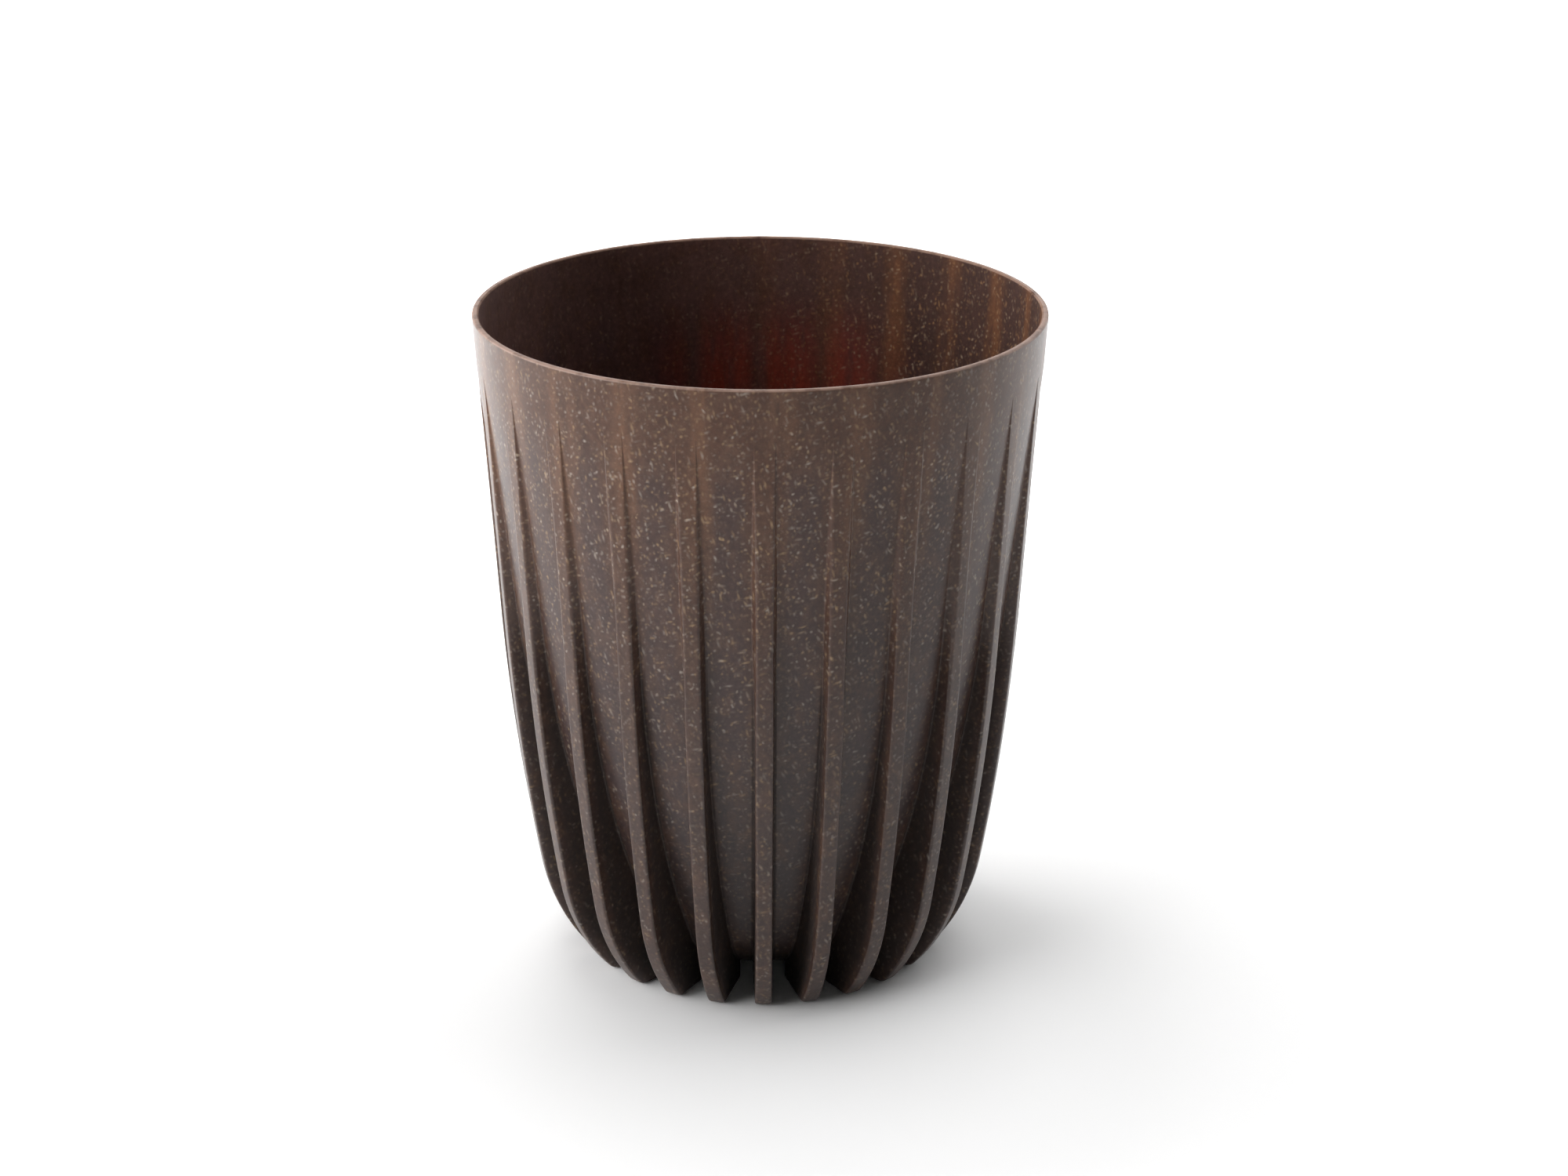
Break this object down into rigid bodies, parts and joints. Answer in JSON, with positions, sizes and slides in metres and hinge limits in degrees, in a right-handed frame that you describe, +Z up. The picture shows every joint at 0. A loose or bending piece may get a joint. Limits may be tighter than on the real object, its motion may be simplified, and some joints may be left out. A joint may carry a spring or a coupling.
{
  "type": "flower pot",
  "caption": "Tapered round flower pot with a smooth rim band, a rounded bowl and a ring of upright outer fins that run down to the ground as feet.",
  "frame": {"origin": "on the ground, at the pot's axis", "axes": "+Z up along the pot's axis, -Y towards the front fin"},
  "size_m": [0.18, 0.18, 0.215],
  "materials": {
    "fibre_composite": "satin brown wood-fibre composite with pale fibre specks"
  },
  "bodies": {
    "root": {"rim_band": "fibre_composite", "upper_wall": "fibre_composite", "waist_wall": "fibre_composite", "hip_wall": "fibre_composite", "lower_wall": "fibre_composite", "bowl_floor": "fibre_composite", "fin_01": "fibre_composite", "fin_02": "fibre_composite", "fin_03": "fibre_composite", "fin_04": "fibre_composite", "fin_05": "fibre_composite", "fin_06": "fibre_composite", "fin_07": "fibre_composite", "fin_08": "fibre_composite", "fin_09": "fibre_composite", "fin_10": "fibre_composite", "fin_11": "fibre_composite", "fin_12": "fibre_composite", "fin_13": "fibre_composite", "fin_14": "fibre_composite", "fin_15": "fibre_composite", "fin_16": "fibre_composite", "fin_17": "fibre_composite", "fin_18": "fibre_composite", "fin_19": "fibre_composite", "fin_20": "fibre_composite", "fin_21": "fibre_composite", "fin_22": "fibre_composite", "fin_23": "fibre_composite", "fin_24": "fibre_composite"}
  },
  "joints": []
}
